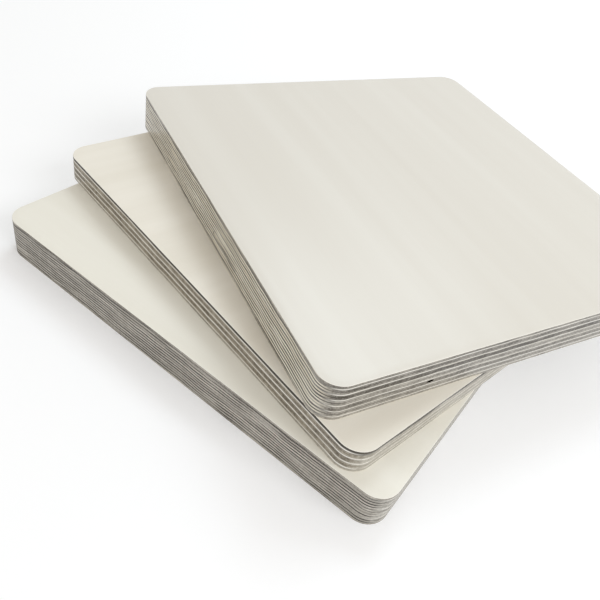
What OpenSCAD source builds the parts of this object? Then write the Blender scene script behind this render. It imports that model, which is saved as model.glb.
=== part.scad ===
// A fanned stack of three plywood sheets: square, with rounded corners,
// each glued up from veneers whose grain runs crosswise in turn.
// The origin is at the centre of the bottom sheet's underside, +X runs along that
// sheet's front edge and +Y along its left edge. All lengths are in millimetres.

/* [Sheets] */
// Width of every sheet, along its front edge
sheet_width = 200; // [120:1:400]
// Length of every sheet, along its left edge
sheet_length = 200; // [120:1:400]
// Radius of every sheet's corners
corner_radius = 9; // [1:0.5:40]
// Thickness of the bottom sheet
bottom_thickness = 18; // [15:0.5:30]
// Thickness of the middle sheet
middle_thickness = 12; // [9:0.5:30]
// Thickness of the top sheet
top_thickness = 18; // [15:0.5:30]

/* [Plies] */
// Thickness of the outer veneers, the face and the back of a sheet
veneer_thickness = 1.2; // [0.6:0.1:1.6]
// Thickness of a crossband, an inner ply whose grain runs across that of the faces
crossband_thickness = 0.9; // [0.5:0.1:1.2]
// Number of core plies in the bottom sheet, whose grain runs with that of the faces
bottom_core_count = 5; // [1:1:5]
// Number of core plies in the middle sheet
middle_core_count = 3; // [1:1:3]
// Number of core plies in the top sheet
top_core_count = 5; // [1:1:5]

/* [Fan] */
// Pivot of the fan, in from the bottom sheet's left edge
pivot_from_left = 71; // [0:0.1:120]
// Pivot of the fan, in from the bottom sheet's front edge
pivot_from_front = 14; // [0:0.1:120]
// Turn of the middle sheet against the bottom one, clockwise from above, in degrees
middle_turn = 12; // [0:0.1:45]
// Turn of the top sheet against the bottom one, clockwise from above, in degrees
top_turn = 26.1; // [0:0.1:90]
// Slip of the middle sheet out of the fan, to the right
slip_right = 1.2; // [0:0.1:5]
// Slip of the middle sheet out of the fan, to the front
slip_front = 0.3; // [0:0.1:5]

/* [Core gap] */
// Gap between two strips of core veneer, in from the top sheet's left edge
gap_from_left = 43.6; // [10:0.1:100]
// Width of the gap
gap_width = 2.6; // [0.5:0.1:6]
// Height of the gap, down from the upper side of its ply
gap_height = 1.3; // [0.4:0.1:2]
// Depth of the gap, in from the top sheet's front edge
gap_depth = 40; // [5:1:100]
// Core ply of the top sheet that has the gap, counted from the sheet's back
gap_core_number = 2; // [1:1:5]

/* [Hidden] */
$fn = 48;

// How far a cut runs past the face that it opens
overrun = 1;

// A sheet is its name, thickness, number of core plies, height of its underside, turn and slip in X and Y
bottom_sheet = ["bottom_sheet", bottom_thickness, bottom_core_count, 0, 0, [0, 0]];
middle_height = bottom_thickness;
middle_slip = [slip_right, -slip_front];
middle_sheet =
    ["middle_sheet", middle_thickness, middle_core_count, middle_height, middle_turn, middle_slip];
top_height = middle_height + middle_thickness;
top_sheet = ["top_sheet", top_thickness, top_core_count, top_height, top_turn, [0, 0]];
SHEETS = [bottom_sheet, middle_sheet, top_sheet];

function sheet_name(sheet) = sheet[0];
function thickness(sheet) = sheet[1];
function cores(sheet) = sheet[2];
function underside(sheet) = sheet[3];
function turn(sheet) = sheet[4];
function slip(sheet) = sheet[5];

// The core plies share the thickness that the outer veneers and the crossbands leave.
// There is a crossband below each core ply and one above the last.
function core_ply(sheet) =
    (thickness(sheet) - 2 * veneer_thickness - (cores(sheet) + 1) * crossband_thickness) / cores(sheet);

// Heights in the stack of the underside of crossband number n and core ply number n, from the back up
function cross_height(sheet, n) =
    underside(sheet) + veneer_thickness + (n - 1) * (crossband_thickness + core_ply(sheet));
function core_height(sheet, n) = cross_height(sheet, n) + crossband_thickness;
function face_height(sheet) = underside(sheet) + thickness(sheet) - veneer_thickness;

function back_name(sheet) = str(sheet_name(sheet), "_back_veneer");
function cross_name(sheet, n) = str(sheet_name(sheet), "_crossband_", n);
function core_name(sheet, n) = str(sheet_name(sheet), "_core_ply_", n);
function face_name(sheet) = str(sheet_name(sheet), "_face_veneer");

// Outline of a sheet about its centre, with true arcs at the corners
module outline() {
    square([sheet_width - 2 * corner_radius, sheet_length], center = true);
    square([sheet_width, sheet_length - 2 * corner_radius], center = true);
    for (x = [-1, 1], y = [-1, 1])
        translate([x * (sheet_width / 2 - corner_radius), y * (sheet_length / 2 - corner_radius)])
            circle(corner_radius);
}

// Takes what is drawn about a sheet's centre to that sheet's place in the fan
module place(sheet, height) {
    pivot = [pivot_from_left - sheet_width / 2, pivot_from_front - sheet_length / 2];
    translate([pivot.x + slip(sheet).x, pivot.y + slip(sheet).y, height])
        rotate(-turn(sheet))
            translate([-pivot.x, -pivot.y])
                children();
}

module ply(sheet, height, ply_thickness)
    place(sheet, height)
        linear_extrude(ply_thickness)
            outline();

// Back of a sheet: the outer veneer that lies downwards
module back_veneer(sheet)
    color("wheat")
        ply(sheet, underside(sheet), veneer_thickness);

// Face of a sheet: the outer veneer that lies upwards
module face_veneer(sheet)
    color("cornsilk")
        ply(sheet, face_height(sheet), veneer_thickness);

// Thin inner ply laid across the grain of the faces
module crossband(sheet, n)
    color("tan")
        ply(sheet, cross_height(sheet, n), crossband_thickness);

// Thick inner ply laid with the grain of the faces
module core(sheet, n)
    color("burlywood")
        difference() {
            ply(sheet, core_height(sheet, n), core_ply(sheet));
            if (sheet == top_sheet && n == gap_core_number) core_gap(sheet, n);
        }

// Gap left between two strips of core veneer, open at the front edge and running in along the grain
module core_gap(sheet, n)
    place(sheet, core_height(sheet, n) + core_ply(sheet) - gap_height)
        translate([gap_from_left - sheet_width / 2, -sheet_length / 2 - overrun])
            cube([gap_width, gap_depth + overrun, gap_height + overrun]);

for (sheet = SHEETS) {
    back_veneer(sheet);
    for (n = [1 : cores(sheet) + 1])
        crossband(sheet, n);
    for (n = [1 : cores(sheet)])
        core(sheet, n);
    face_veneer(sheet);
}
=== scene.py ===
"""A fanned stack of three plywood sheets, dressed ply by ply and lit as in the photograph."""
import math

import bmesh
import bpy
from mathutils import Matrix, Vector


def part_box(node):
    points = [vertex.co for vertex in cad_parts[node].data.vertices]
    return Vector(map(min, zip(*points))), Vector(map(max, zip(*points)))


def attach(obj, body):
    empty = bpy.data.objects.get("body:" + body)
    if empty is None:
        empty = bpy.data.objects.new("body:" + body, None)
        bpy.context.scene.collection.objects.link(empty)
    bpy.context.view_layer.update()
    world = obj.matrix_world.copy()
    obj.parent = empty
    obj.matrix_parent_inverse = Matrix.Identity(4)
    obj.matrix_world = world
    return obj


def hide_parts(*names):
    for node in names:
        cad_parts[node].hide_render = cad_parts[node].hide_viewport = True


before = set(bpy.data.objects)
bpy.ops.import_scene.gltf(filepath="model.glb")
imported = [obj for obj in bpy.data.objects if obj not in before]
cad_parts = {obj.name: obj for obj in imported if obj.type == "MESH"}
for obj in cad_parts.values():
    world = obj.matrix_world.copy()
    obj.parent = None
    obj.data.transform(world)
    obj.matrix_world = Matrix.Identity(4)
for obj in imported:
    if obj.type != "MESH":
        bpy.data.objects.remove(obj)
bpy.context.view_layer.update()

scene = bpy.context.scene
scene.view_settings.view_transform = "Standard"

# Camera
# It stands in front of the stack and to its left, looks down on the sheets and leans to one side,
# so that the front corners of all three sheets point towards the viewer.
camera_place = Vector((-0.21745, -0.11060, 0.19695))
camera_heading = math.radians(62.76)
camera_pitch = math.radians(42.42)
camera_roll = math.radians(14.70)
focal_length_in_image_widths = 623.0 / 600.0

camera_data = bpy.data.cameras.new("camera")
camera_data.sensor_width = 36.0
camera_data.lens = focal_length_in_image_widths * camera_data.sensor_width
camera_data.clip_start = 0.01
camera = bpy.data.objects.new("camera", camera_data)
scene.collection.objects.link(camera)
camera.matrix_world = (
    Matrix.Translation(camera_place)
    @ Matrix.Rotation(-camera_heading, 4, "Z")
    @ Matrix.Rotation(math.pi / 2 - camera_pitch, 4, "X")
    @ Matrix.Rotation(camera_roll, 4, "Z")
)
scene.camera = camera

# Sheets
# Each sheet is a square of plywood with rounded corners, sawn from a larger board.
# The upper two are turned on the one below them, so the stack opens like a fan.
corner_radius = 0.009
bottom_low, bottom_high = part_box("bottom_sheet_face_veneer")
sheet_side = bottom_high[0] - bottom_low[0]
veneer_thickness = bottom_high[2] - bottom_low[2]
sheets = {
    "bottom_sheet": {"turn": 0.0, "grain_turn": 0.0, "roughness": 0.45},
    "middle_sheet": {"turn": math.radians(12.0), "grain_turn": math.radians(90), "roughness": 0.40},
    "top_sheet": {"turn": math.radians(26.1), "grain_turn": 0.0, "roughness": 0.22},
}
for sheet_name, sheet in sheets.items():
    low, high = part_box(sheet_name + "_face_veneer")
    sheet["centre"] = Vector(((low[0] + high[0]) / 2, (low[1] + high[1]) / 2, 0))
    sheet["face_veneer_low"] = low[2]
    sheet["back_veneer_high"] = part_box(sheet_name + "_back_veneer")[1][2]

# Core plies
# These are the thick inner veneers, peeled from a log and laid with the grain of the faces.
# Where the saw crosses the grain they show dark and speckled, and along it they show paler and streaked.
point_spacing = 0.002
rim_width = 0.004
corner_segments = 14
cuts_up_the_edge = 3
smooth_angle = math.radians(20)


def pick(mesh, kind, chosen):
    """Selects the edges or faces of a mesh in edit mode that chosen says yes to, and nothing else."""
    bpy.ops.mesh.select_mode(type={"edges": "EDGE", "faces": "FACE"}[kind])
    bpy.ops.mesh.select_all(action="DESELECT")
    work = bmesh.from_edit_mesh(mesh)
    for item in getattr(work, kind):
        if chosen(item):
            item.select_set(True)
    bmesh.update_edit_mesh(mesh)


def cut_ply(node, piece_name, material):
    """Models the plain plate of a ply in its sheet's own frame, at its height in the stack."""
    low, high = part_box(node)
    thickness = high[2] - low[2]
    bpy.ops.object.select_all(action="DESELECT")
    bpy.ops.mesh.primitive_plane_add(size=sheet_side, location=(0, 0, low[2]))
    ply = bpy.context.object
    ply.name = piece_name
    ply.data.name = piece_name
    bpy.ops.object.transform_apply(location=True)
    bpy.ops.object.mode_set(mode="EDIT")
    bpy.ops.mesh.bevel(
        offset=corner_radius, offset_type="OFFSET", segments=corner_segments, affect="VERTICES")
    straight = sheet_side - 2 * corner_radius
    pick(ply.data, "edges", lambda edge: edge.calc_length() > corner_radius)
    bpy.ops.mesh.subdivide(number_cuts=round(straight / point_spacing) - 1)
    bpy.ops.mesh.select_all(action="SELECT")
    bpy.ops.mesh.inset(thickness=rim_width)
    bpy.ops.mesh.select_all(action="SELECT")
    bpy.ops.mesh.extrude_region_move(TRANSFORM_OT_translate={"value": (0, 0, thickness)})
    bpy.ops.mesh.select_all(action="SELECT")
    bpy.ops.mesh.normals_make_consistent(inside=False)
    pick(ply.data, "edges", lambda edge: abs(edge.verts[0].co.z - edge.verts[1].co.z) > thickness / 2)
    bpy.ops.mesh.subdivide(number_cuts=cuts_up_the_edge)
    bpy.ops.object.mode_set(mode="OBJECT")
    ply.data.materials.append(material)
    return ply


# Under the press the glue lines wander up and down, most of all along the grain of the faces,
# and the saw lays that bare.
bow = bpy.data.textures.new("ply_bow", "CLOUDS")
bow.noise_scale = 0.022
bow.noise_depth = 1
bow_height = 0.0012
squeeze = bpy.data.textures.new("ply_squeeze", "CLOUDS")
squeeze.noise_scale = 0.007
squeeze.noise_depth = 2
squeeze_height = 0.0008
wander_share_across_grain = 0.4
pattern_shift_per_height = 40.0


def press_ply(ply, sheet, node, darkness):
    """Lets a ply's glue lines wander, notes how far its edge lies from them and lays it in its sheet."""
    low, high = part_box(node)
    glued_low = sheet["back_veneer_high"]
    glued_high = sheet["face_veneer_low"]
    corner_centre = sheet_side / 2 - corner_radius
    grain = Vector((math.sin(sheet["grain_turn"]), math.cos(sheet["grain_turn"])))
    wander = ply.vertex_groups.new(name="wander")
    glue_distances = []
    middle_distances = []
    for vertex in ply.data.vertices:
        x, y, z = vertex.co
        below = z - low[2] if low[2] > glued_low - veneer_thickness / 2 else math.inf
        above = high[2] - z if high[2] < glued_high + veneer_thickness / 2 else math.inf
        glue_distances.append(min(below, above))
        middle_distances.append(abs(z - (low[2] + high[2]) / 2))
        outward = Vector((max(abs(x) - corner_centre, 0), max(abs(y) - corner_centre, 0)))
        if outward.length > corner_radius - rim_width / 2:
            across = abs(outward.normalized().dot(grain))
            share = 1 + across * (wander_share_across_grain - 1)
            past_glue = max(glued_low - z, z - glued_high, 0)
            wander.add([vertex.index], share * (1 - past_glue / veneer_thickness), "REPLACE")
    count = len(glue_distances)
    notes = {
        "glue_distance": glue_distances,
        "middle_distance": middle_distances,
        "ply_darkness": [darkness] * count,
        "pattern_shift": [pattern_shift_per_height * low[2]] * count,
    }
    for name, values in notes.items():
        ply.data.attributes.new(name, "FLOAT", "POINT").data.foreach_set("value", values)
    for texture, height in ((bow, bow_height), (squeeze, squeeze_height)):
        move = ply.modifiers.new(texture.name, "DISPLACE")
        move.texture = texture
        move.texture_coords = "LOCAL"
        move.direction = "Z"
        move.strength = height
        move.vertex_group = wander.name
        bpy.ops.object.modifier_apply(modifier=move.name)
    ply.rotation_euler.z = -sheet["turn"]
    ply.location = sheet["centre"]
    bpy.ops.object.transform_apply(location=True, rotation=True)
    bpy.ops.object.shade_smooth_by_angle(angle=smooth_angle)
    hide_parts(node)
    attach(ply, "root")


def add_node(tree, kind, sockets=None, **settings):
    """Adds a node, sets its settings, and links or sets the sockets given by name or number."""
    node = tree.nodes.new(kind)
    for name, value in settings.items():
        setattr(node, name, value)
    for name, value in (sockets or {}).items():
        if isinstance(value, bpy.types.NodeSocket):
            tree.links.new(value, node.inputs[name])
        else:
            node.inputs[name].default_value = value
    return node


def math_node(tree, operation, first, second=0.0, third=0.0):
    """Adds a Math node and gives its output."""
    node = add_node(tree, "ShaderNodeMath", {0: first, 1: second, 2: third}, operation=operation)
    return node.outputs["Value"]


def ramp_value(tree, value, low, high, to_low=0.0, to_high=1.0):
    """Maps a value from one range to another and keeps it within that range."""
    sockets = {"Value": value, "From Min": low, "From Max": high, "To Min": to_low, "To Max": to_high}
    return add_node(tree, "ShaderNodeMapRange", sockets, clamp=True).outputs["Result"]


def blend_values(tree, share, first, second):
    """Mixes two values by a share. The names of a Mix node's sockets repeat, so they go by number."""
    return add_node(tree, "ShaderNodeMix", {0: share, 2: first, 3: second}).outputs[0]


def blend_colours(tree, share, first, second):
    """Mixes two colours by a share, again with the sockets by number."""
    return add_node(tree, "ShaderNodeMix", {0: share, 6: first, 7: second}, data_type="RGBA").outputs[2]


def display_colour(red, green, blue):
    """Gives the linear colour of a display colour in steps of 0 to 255, by the sRGB curve."""
    shares = [step / 255 for step in (red, green, blue)]
    linear = [s / 12.92 if s <= 0.04045 else ((s + 0.055) / 1.055) ** 2.4 for s in shares]
    return (*linear, 1.0)


def stretched_noise(tree, position, stretch, detail, roughness=0.5):
    """Adds noise that repeats so many times a metre across, along and through the grain."""
    mapping = add_node(tree, "ShaderNodeMapping", {"Vector": position, "Scale": stretch})
    sockets = {"Vector": mapping.outputs["Vector"], "Scale": 1.0, "Detail": detail, "Roughness": roughness}
    return add_node(tree, "ShaderNodeTexNoise", sockets).outputs["Fac"]


def value_group(name, outputs):
    """Starts a node group that takes a position and gives the named values."""
    group = bpy.data.node_groups.new(name, "ShaderNodeTree")
    group.interface.new_socket("Position", in_out="INPUT", socket_type="NodeSocketVector")
    for output in outputs:
        group.interface.new_socket(output, in_out="OUTPUT", socket_type="NodeSocketFloat")
    position = group.nodes.new("NodeGroupInput").outputs["Position"]
    return group, position, group.nodes.new("NodeGroupOutput").inputs


# Wood fibre runs as fine columns along the grain: streaks where a cut follows them, dots where it crosses.
# Growth rings show as thin dark lines. Every ply takes its pattern from another place.
fibre_per_metre = (1500, 25, 1500)
growth_per_metre = (24, 25, 760)
streak_per_metre = (60, 2.5, 60)
ring_level = 0.5
ring_half_width = 0.1

fibre_group, fibre_place, fibre_out = value_group("wood_fibre", ("Fibre", "Ring", "Streak"))
shift = add_node(fibre_group, "ShaderNodeAttribute", attribute_name="pattern_shift").outputs["Fac"]
shift = add_node(fibre_group, "ShaderNodeCombineXYZ", {"X": shift, "Y": shift}).outputs["Vector"]
fibre_place = add_node(fibre_group, "ShaderNodeVectorMath", {0: fibre_place, 1: shift}).outputs["Vector"]
fibre = stretched_noise(fibre_group, fibre_place, fibre_per_metre, detail=4.0, roughness=0.65)
growth = stretched_noise(fibre_group, fibre_place, growth_per_metre, detail=2.0)
off_ring = math_node(fibre_group, "SUBTRACT", growth, ring_level)
off_ring = math_node(fibre_group, "ABSOLUTE", off_ring)
ring = ramp_value(fibre_group, off_ring, 0.0, ring_half_width, 1.0, 0.0)
streak = stretched_noise(fibre_group, fibre_place, streak_per_metre, detail=3.0)
fibre_group.links.new(fibre, fibre_out["Fibre"])
fibre_group.links.new(ring, fibre_out["Ring"])
fibre_group.links.new(streak, fibre_out["Streak"])

# A sawn edge has fine upright saw marks and tones that change in patches. A broken dark glue line runs
# beside each neighbour, and a ring of late wood shows as another dark line down the middle of a ply.
saw_marks_per_metre = (900, 900, 60)
patches_per_metre = (110, 110, 520)
breaks_per_metre = (50, 50, 600)
break_range = (0.36, 0.52)
line_strengths = (0.5, 1.0)
line_halves = {"Glue": (0.00015, 0.00028), "Ring": (0.00024, 0.00040)}

saw_group, saw_place, saw_out = value_group("sawn_edge", ("Saw Mark", "Patch", "Glue", "Ring"))
saw_mark = stretched_noise(saw_group, saw_place, saw_marks_per_metre, detail=2.0)
patch = stretched_noise(saw_group, saw_place, patches_per_metre, detail=3.0)
saw_group.links.new(saw_mark, saw_out["Saw Mark"])
saw_group.links.new(patch, saw_out["Patch"])
for line, distance_name in (("Glue", "glue_distance"), ("Ring", "middle_distance")):
    distance = add_node(saw_group, "ShaderNodeAttribute", attribute_name=distance_name).outputs["Fac"]
    near = ramp_value(saw_group, distance, *line_halves[line], 1.0, 0.0)
    breaks = stretched_noise(saw_group, saw_place, breaks_per_metre, detail=2.0)
    breaks = ramp_value(saw_group, breaks, *break_range, *line_strengths)
    saw_group.links.new(math_node(saw_group, "MULTIPLY", near, breaks), saw_out[line])

# Bare wood lies between a lightest and a darkest tone, by its fibre, saw marks and patches.
# Glue and late wood draw dark lines on the edges; the eased arris has a painted highlight, near white.
line_colour = display_colour(26, 22, 17)
arris_highlight_colour = display_colour(250, 248, 242)
noise_range = (0.3, 0.7)
face_range = (0.32, 0.68)
fibre_share_on_face = 0.12
end_grain_range = (0.45, 0.85)
saw_mark_tone = 0.15
fibre_tone = 0.3
patch_tone = 0.3
ring_tone = 0.5
flat_range = (0.25, 0.55)
arris_highlight_range = (0.995, 0.95)
fibre_roughness = 0.2
wood_gloss = 0.4
face_relief_share = 0.12
relief_strength = 0.6
relief_height = 0.00012


def ply_material(name, sheet, grain_turn, face, along, across, lines):
    """Makes the bare wood of one kind of ply from the lightest and darkest colour of its face,
    of its edge along the grain and of its end grain, and the strength of the dark lines on both edges."""
    material = bpy.data.materials.new(name)
    material.use_nodes = True
    tree = material.node_tree
    shader = tree.nodes["Principled BSDF"]
    turn = (0, 0, grain_turn - sheet["turn"])
    texture = tree.nodes.new("ShaderNodeTexCoord")
    sockets = {"Vector": texture.outputs["Object"], "Location": sheet["centre"], "Rotation": turn}
    place = add_node(tree, "ShaderNodeMapping", sockets, vector_type="TEXTURE").outputs["Vector"]
    sockets = {"Vector": texture.outputs["Normal"], "Rotation": turn}
    facing = add_node(tree, "ShaderNodeMapping", sockets, vector_type="TEXTURE").outputs["Vector"]
    facing = add_node(tree, "ShaderNodeSeparateXYZ", {"Vector": facing}).outputs
    grain = add_node(tree, "ShaderNodeGroup", node_tree=fibre_group)
    sawn = add_node(tree, "ShaderNodeGroup", node_tree=saw_group)
    tree.links.new(place, grain.inputs["Position"])
    tree.links.new(place, sawn.inputs["Position"])
    fibre = grain.outputs["Fibre"]

    streaks = math_node(tree, "MULTIPLY", grain.outputs["Streak"], 1 - fibre_share_on_face)
    face_share = math_node(tree, "MULTIPLY_ADD", fibre, fibre_share_on_face, streaks)
    face_wood = blend_colours(tree, ramp_value(tree, face_share, *face_range), *face)

    end_share = ramp_value(tree, math_node(tree, "ABSOLUTE", facing["Y"]), *end_grain_range)
    tone = add_node(tree, "ShaderNodeAttribute", attribute_name="ply_darkness").outputs["Fac"]
    marks = ramp_value(tree, sawn.outputs["Saw Mark"], *noise_range, -saw_mark_tone, saw_mark_tone)
    tone = math_node(tree, "ADD", tone, marks)
    tone = math_node(tree, "ADD", tone, ramp_value(tree, fibre, *noise_range, -fibre_tone, fibre_tone))
    along_tone = math_node(tree, "MULTIPLY_ADD", grain.outputs["Ring"], ring_tone, tone)
    along_wood = blend_colours(tree, ramp_value(tree, along_tone, 0.0, 1.0), *along)
    patches = ramp_value(tree, sawn.outputs["Patch"], *noise_range, -patch_tone, patch_tone)
    across_tone = math_node(tree, "ADD", tone, patches)
    across_wood = blend_colours(tree, ramp_value(tree, across_tone, 0.0, 1.0), *across)
    edge_wood = blend_colours(tree, end_share, along_wood, across_wood)
    for line, shares in lines.items():
        share = math_node(tree, "MULTIPLY", sawn.outputs[line], blend_values(tree, end_share, *shares))
        edge_wood = blend_colours(tree, share, edge_wood, line_colour)

    upright = math_node(tree, "ABSOLUTE", facing["Z"])
    flat_share = ramp_value(tree, upright, *flat_range)
    # Painted highlight: the nearly flat facets of the eased arris are painted near white, as if they
    # caught the light.
    eased = ramp_value(tree, upright, *arris_highlight_range)
    outside = blend_colours(tree, eased, face_wood, arris_highlight_colour)
    tree.links.new(blend_colours(tree, flat_share, edge_wood, outside), shader.inputs["Base Color"])

    roughness = math_node(tree, "MULTIPLY_ADD", fibre, fibre_roughness, sheet["roughness"])
    tree.links.new(roughness, shader.inputs["Roughness"])
    shader.inputs["Specular IOR Level"].default_value = wood_gloss
    edge_relief = math_node(tree, "ADD", fibre, sawn.outputs["Saw Mark"])
    face_relief = math_node(tree, "MULTIPLY", fibre, face_relief_share)
    relief = blend_values(tree, flat_share, edge_relief, face_relief)
    sockets = {"Height": relief, "Strength": relief_strength, "Distance": relief_height}
    bump = add_node(tree, "ShaderNodeBump", sockets)
    tree.links.new(bump.outputs["Normal"], shader.inputs["Normal"])
    return material


# One strip of core veneer in the top sheet stops short of the next, which leaves a black gap in the
# front edge. In the left edge the same ply has a crack across it, from which the glue line has opened.
# Painted shade: the inside walls of these openings are painted near black for the shade deep inside the
# gap.
gap_shade = bpy.data.materials.new("core_gap_shade")
gap_shade.use_nodes = True
gap_shader = gap_shade.node_tree.nodes["Principled BSDF"]
gap_shader.inputs["Base Color"].default_value = display_colour(34, 29, 24)
gap_shader.inputs["Roughness"].default_value = 1.0
gap_shader.inputs["Specular IOR Level"].default_value = 0.0
raggedness = 0.05
end_facing = 0.9


def open_ply(ply, low, high, taper_axis, taper, lean, seed):
    """Cuts a ragged opening between two corners into a ply, thinner towards its ends and leaning."""
    size = Vector(high) - Vector(low)
    bpy.ops.object.select_all(action="DESELECT")
    bpy.ops.mesh.primitive_cube_add(size=1, location=Vector(low) + size / 2, scale=size)
    cutter = bpy.context.object
    cutter.data.materials.append(gap_shade)
    bpy.ops.object.transform_apply(location=False, rotation=False, scale=True)
    bpy.ops.object.mode_set(mode="EDIT")
    bpy.ops.mesh.select_all(action="SELECT")
    bpy.ops.mesh.subdivide(number_cuts=1)
    for end in (-1, 1):
        pick(cutter.data, "faces", lambda face: face.normal[taper_axis] * end > end_facing)
        bpy.ops.transform.resize(value=(1, 1, taper))
    bpy.ops.mesh.select_all(action="SELECT")
    bpy.ops.mesh.subdivide(number_cuts=2)
    bpy.ops.transform.vertex_random(offset=min(size) * raggedness, seed=seed)
    bpy.ops.mesh.quads_convert_to_tris(quad_method="BEAUTY", ngon_method="BEAUTY")
    bpy.ops.object.mode_set(mode="OBJECT")
    cutter.rotation_euler.x = lean
    bpy.ops.object.select_all(action="DESELECT")
    ply.select_set(True)
    bpy.context.view_layer.objects.active = ply
    cut = ply.modifiers.new("opening", "BOOLEAN")
    cut.operation = "DIFFERENCE"
    cut.solver = "EXACT"
    cut.material_mode = "TRANSFER"
    cut.object = cutter
    bpy.ops.object.modifier_apply(modifier=cut.name)
    bpy.data.objects.remove(cutter)


gap_from_left = 0.0436
gap_width = 0.0029
gap_height = 0.0015
gap_depth = 0.040
gap_taper = 0.5
joint_from_front = (0.072, 0.096)
joint_height = 0.0004
joint_taper = 0.3
skin = joint_height / 4
crack_width = 0.0004
crack_height = 0.0019
crack_lean = math.radians(12)
crack_breakthrough = 0.0003
crack_taper = 1.0
open_depth = 0.003
overrun = 0.002
edge = -sheet_side / 2
opened_node = "top_sheet_core_ply_2"


def open_core_ply(ply, node):
    """Opens the gap, the glue line and the crack in the core ply of the top sheet that has them."""
    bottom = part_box(node)[0][2]
    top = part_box(node)[1][2]
    gap_low = (edge + gap_from_left, edge - overrun, top - gap_height - skin)
    gap_high = (edge + gap_from_left + gap_width, edge + gap_depth, top - skin)
    open_ply(ply, gap_low, gap_high, taper_axis=0, taper=gap_taper, lean=0.0, seed=4)
    joint_low = (edge - overrun, edge + joint_from_front[0], bottom + skin)
    joint_high = (edge + open_depth, edge + joint_from_front[1], bottom + skin + joint_height)
    open_ply(ply, joint_low, joint_high, taper_axis=1, taper=joint_taper, lean=0.0, seed=5)
    crack_low = (edge - overrun, edge + joint_from_front[1], top - crack_height)
    crack_high = (edge + open_depth, edge + joint_from_front[1] + crack_width, top + crack_breakthrough)
    open_ply(ply, crack_low, crack_high, taper_axis=2, taper=crack_taper, lean=crack_lean, seed=6)


core_darkness_shares = {
    "bottom_sheet": (0.60, 0.50, 0.65, 0.50, 0.60),
    "middle_sheet": (0.55, 0.65, 0.55),
    "top_sheet": (0.40, 0.60, 0.35, 0.90, 0.60),
}
core_face = (display_colour(214, 206, 188), display_colour(196, 186, 164))
core_alongs = {
    "bottom_sheet": (display_colour(242, 237, 228), display_colour(172, 167, 158)),
    "middle_sheet": (display_colour(234, 230, 221), display_colour(164, 158, 146)),
    "top_sheet": (display_colour(255, 252, 241), display_colour(230, 222, 205)),
}
core_acrosses = {
    "bottom_sheet": (display_colour(228, 224, 216), display_colour(138, 133, 124)),
    "middle_sheet": (display_colour(198, 189, 172), display_colour(95, 86, 71)),
    "top_sheet": (display_colour(194, 189, 180), display_colour(82, 76, 67)),
}
core_lines = {
    "bottom_sheet": {"Glue": (0.25, 0.15), "Ring": (1.0, 0.5)},
    "middle_sheet": {"Glue": (0.15, 0.2), "Ring": (0.1, 0.35)},
    "top_sheet": {"Glue": (0.25, 0.2), "Ring": (1.0, 0.5)},
}
for sheet_name, sheet in sheets.items():
    core_wood = ply_material(
        sheet_name + "_core_wood", sheet, sheet["grain_turn"], core_face,
        core_alongs[sheet_name], core_acrosses[sheet_name], core_lines[sheet_name])
    for number, darkness in enumerate(core_darkness_shares[sheet_name], start=1):
        node = f"{sheet_name}_core_ply_{number}"
        ply = cut_ply(node, f"core_ply_{number}_of_{sheet_name}", core_wood)
        if node == opened_node:
            open_core_ply(ply, node)
        press_ply(ply, sheet, node, darkness)

# Crossbands
# Thin inner veneers laid across the grain of the faces, one on each side of every core ply.
# They show pale where the core plies show dark, so the edge is striped.
crossband_face = (display_colour(222, 215, 198), display_colour(206, 197, 176))
crossband_along = (display_colour(253, 251, 246), display_colour(222, 217, 207))
crossband_across = (display_colour(252, 248, 240), display_colour(172, 165, 152))
crossband_lines = {
    "bottom_sheet": {"Glue": (0.7, 0.2), "Ring": (0.0, 1.0)},
    "middle_sheet": {"Glue": (0.5, 0.2), "Ring": (0.0, 0.15)},
    "top_sheet": {"Glue": (0.75, 0.2), "Ring": (0.0, 1.0)},
}
crossband_darkness_shares = {"bottom_sheet": 0.45, "middle_sheet": 0.3, "top_sheet": 0.45}

# The glue has bled into the end grain of the crossband under the middle sheet's face veneer.
stained_node = "middle_sheet_crossband_4"
stained_lines = {"Glue": (0.5, 1.0), "Ring": (0.0, 0.7)}
stained_turn = sheets["middle_sheet"]["grain_turn"] + math.pi / 2
stained_wood = ply_material(
    "stained_crossband_wood", sheets["middle_sheet"], stained_turn, crossband_face,
    crossband_along, crossband_across, stained_lines)
for sheet_name, sheet in sheets.items():
    across_turn = sheet["grain_turn"] + math.pi / 2
    crossband_wood = ply_material(
        sheet_name + "_crossband_wood", sheet, across_turn, crossband_face,
        crossband_along, crossband_across, crossband_lines[sheet_name])
    for number in range(1, len(core_darkness_shares[sheet_name]) + 2):
        node = f"{sheet_name}_crossband_{number}"
        wood = stained_wood if node == stained_node else crossband_wood
        ply = cut_ply(node, f"crossband_{number}_of_{sheet_name}", wood)
        press_ply(ply, sheet, node, crossband_darkness_shares[sheet_name])

# Outer veneers
# The face and the back of a sheet, sanded smooth. Their arrises are eased with a stroke of sandpaper,
# and their sawn edge is a thin dark line.
arris = 0.00025
arris_segments = 3
level_tolerance = arris / 4
steep_normal = 0.5
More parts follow.
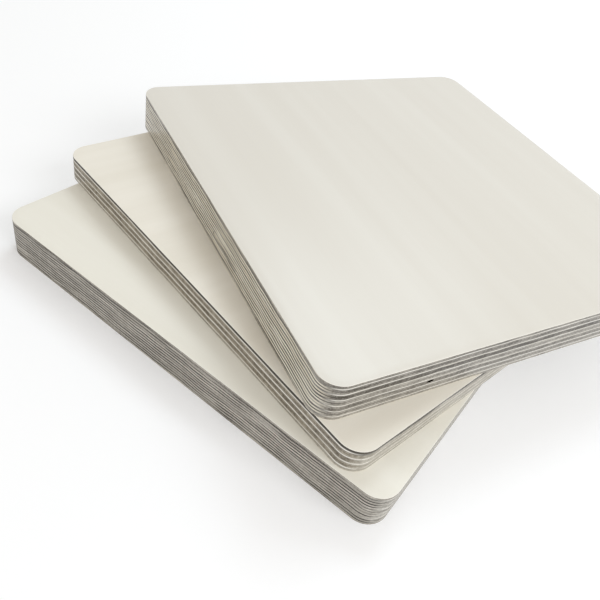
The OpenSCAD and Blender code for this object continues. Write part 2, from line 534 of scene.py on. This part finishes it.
# The faces of the lower two sheets are lighter than the top sheet's face, partly as a paler veneer and
# partly as painted light that lifts the shade they lie in under the sheets above.
veneer_faces = {
    "bottom_sheet": (display_colour(242, 240, 232), display_colour(234, 231, 221)),
    "middle_sheet": (display_colour(242, 238, 229), display_colour(233, 228, 217)),
    "top_sheet": (display_colour(224, 221, 214), display_colour(219, 215, 207)),
}
veneer_along = (display_colour(226, 221, 210), display_colour(104, 97, 86))
veneer_across = (display_colour(190, 184, 174), display_colour(78, 72, 63))
veneer_darkness_shares = {
    "bottom_sheet": {"back": 0.35, "face": 0.35},
    "middle_sheet": {"back": 0.15, "face": 1.2},
    "top_sheet": {"back": 0.3, "face": 0.35},
}
back_lines = {"Glue": (0.4, 0.3)}
veneer_lines = {
    "bottom_sheet": {"back": back_lines, "face": {"Glue": (1.0, 0.8), "Ring": (0.15, 0.3)}},
    "middle_sheet": {"back": back_lines, "face": {"Glue": (0.6, 0.6), "Ring": (0.7, 0.6)}},
    "top_sheet": {"back": back_lines, "face": {"Glue": (1.0, 0.8), "Ring": (0.15, 0.3)}},
}


def ease_arris(ply, height):
    """Rounds the arris of an outer veneer at the given height."""
    def on_arris(edge):
        level = all(abs(vertex.co.z - height) < level_tolerance for vertex in edge.verts)
        return level and any(abs(face.normal.z) < steep_normal for face in edge.link_faces)

    bpy.ops.object.mode_set(mode="EDIT")
    pick(ply.data, "edges", on_arris)
    bpy.ops.mesh.bevel(offset=arris, offset_type="OFFSET", segments=arris_segments, affect="EDGES")
    bpy.ops.object.mode_set(mode="OBJECT")


for sheet_name, sheet in sheets.items():
    for side, outside in (("back", 0), ("face", 1)):
        node = f"{sheet_name}_{side}_veneer"
        veneer_wood = ply_material(
            node + "_wood", sheet, sheet["grain_turn"], veneer_faces[sheet_name],
            veneer_along, veneer_across, veneer_lines[sheet_name][side])
        ply = cut_ply(node, f"{side}_veneer_of_{sheet_name}", veneer_wood)
        ease_arris(ply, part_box(node)[outside][2])
        press_ply(ply, sheet, node, veneer_darkness_shares[sheet_name][side])

# Floor
# A plain white studio floor that keeps the soft shadow of the stack. It brightens with distance,
# so that it runs into the backdrop without a line.
floor_size = 8.0
floor_drop = 0.0001
floor_colour = (0.85, 0.86, 0.89, 1.0)
floor_lift_colour = (1.0, 1.0, 1.0, 1.0)
floor_lift_reaches = (0.35, 1.2)
floor_lifts = (0.19, 0.5)


def backdrop_rays(tree):
    """Gives 1 to the rays that show the backdrop: straight to the camera, reflected or through glass."""
    path = tree.nodes.new("ShaderNodeLightPath").outputs
    rays = math_node(tree, "MAXIMUM", path["Is Camera Ray"], path["Is Glossy Ray"])
    return math_node(tree, "MAXIMUM", rays, path["Is Transmission Ray"])


bpy.ops.object.select_all(action="DESELECT")
bpy.ops.mesh.primitive_plane_add(size=floor_size, location=(0, 0, -floor_drop))
floor = bpy.context.object
floor.name = "floor"
floor_paint = bpy.data.materials.new("floor_paint")
floor_paint.use_nodes = True
floor_tree = floor_paint.node_tree
floor_shader = floor_tree.nodes["Principled BSDF"]
floor_shader.inputs["Base Color"].default_value = floor_colour
floor_shader.inputs["Roughness"].default_value = 1.0
floor_shader.inputs["Specular IOR Level"].default_value = 0.0
floor_shader.inputs["Emission Color"].default_value = floor_lift_colour
floor_place = floor_tree.nodes.new("ShaderNodeTexCoord").outputs["Object"]
floor_reach = add_node(floor_tree, "ShaderNodeVectorMath", {0: floor_place}, operation="LENGTH")
floor_reach = floor_reach.outputs["Value"]
floor_lift = ramp_value(floor_tree, floor_reach, *floor_lift_reaches, *floor_lifts)
floor_lift = math_node(floor_tree, "MULTIPLY", backdrop_rays(floor_tree), floor_lift)
floor_tree.links.new(floor_lift, floor_shader.inputs["Emission Strength"])
floor.data.materials.append(floor_paint)

# Light
# An even, slightly warm surround, a soft lamp high on the right of the stack and a little behind it,
# and a lower one in front. The left edges of the sheets lie in soft shade.
surround_level = 0.675
surround_colour = (1.0, 0.96, 0.89, 1.0)
backdrop_level = 1.0
backdrop_colour = (1.0, 1.0, 1.0, 1.0)
world = bpy.data.worlds.new("studio")
scene.world = world
world.use_nodes = True
world_tree = world.node_tree
backdrop = world_tree.nodes["Background"]
seen = backdrop_rays(world_tree)
world_colour = blend_colours(world_tree, seen, surround_colour, backdrop_colour)
world_level = ramp_value(world_tree, seen, 0.0, 1.0, surround_level, backdrop_level)
world_tree.links.new(world_colour, backdrop.inputs["Color"])
world_tree.links.new(world_level, backdrop.inputs["Strength"])


def hang_softbox(name, bearing, rise, distance, width, height, power, colour):
    """Hangs a soft lamp at a bearing from the front and a rise from the floor, facing the stack."""
    lamp_data = bpy.data.lights.new(name, "AREA")
    lamp_data.shape = "RECTANGLE"
    lamp_data.size = width
    lamp_data.size_y = height
    lamp_data.energy = power
    lamp_data.color = colour
    lamp = bpy.data.objects.new(name, lamp_data)
    scene.collection.objects.link(lamp)
    level = Vector((math.sin(bearing), -math.cos(bearing), 0))
    lamp.location = distance * (math.cos(rise) * level + math.sin(rise) * Vector((0, 0, 1)))
    lamp.rotation_euler = (-lamp.location).to_track_quat("-Z", "Y").to_euler()


hang_softbox(
    "high_softbox", bearing=math.radians(108), rise=math.radians(55), distance=1.1,
    width=0.45, height=0.45, power=2.75, colour=(0.82, 0.93, 1.0))
hang_softbox(
    "front_softbox", bearing=math.radians(-9), rise=math.radians(40), distance=0.80,
    width=0.5, height=0.3, power=1.9, colour=(0.95, 0.98, 1.0))
